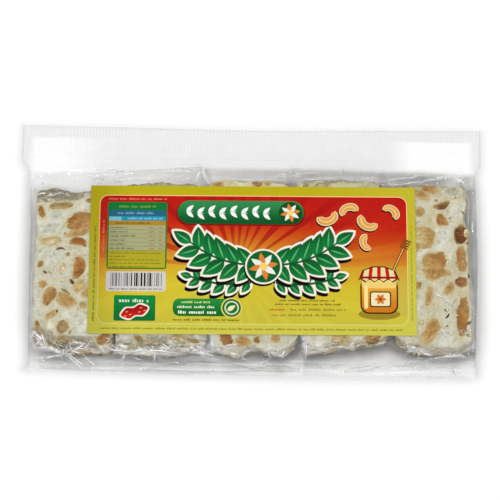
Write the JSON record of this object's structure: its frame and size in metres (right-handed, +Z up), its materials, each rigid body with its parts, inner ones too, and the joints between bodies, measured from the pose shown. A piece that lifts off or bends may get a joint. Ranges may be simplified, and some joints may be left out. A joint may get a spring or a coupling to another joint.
{
  "type": "clear pack of nougat bars",
  "caption": "Flat sealed clear bag of peanut nougat bars lying side by side under a wide printed label, with a crimped flap along one edge.",
  "frame": {"origin": "middle of the footprint, on the surface that the bag lies on", "axes": "+X along the row of bars, +Y towards the crimped flap, +Z up out of the label"},
  "size_m": [0.23, 0.1288, 0.0101],
  "materials": {
    "nougat": "matt, slightly rough, cream-white",
    "nut_tan": "satin roasted peanut and cashew",
    "nut_brown": "satin peanut in its skin",
    "label": "coated printed paper, yellow with a red and orange field",
    "film": "clear glossy polypropylene film"
  },
  "bodies": {
    "root": {"bag": "film", "label": "label"}
  },
  "joints": []
}
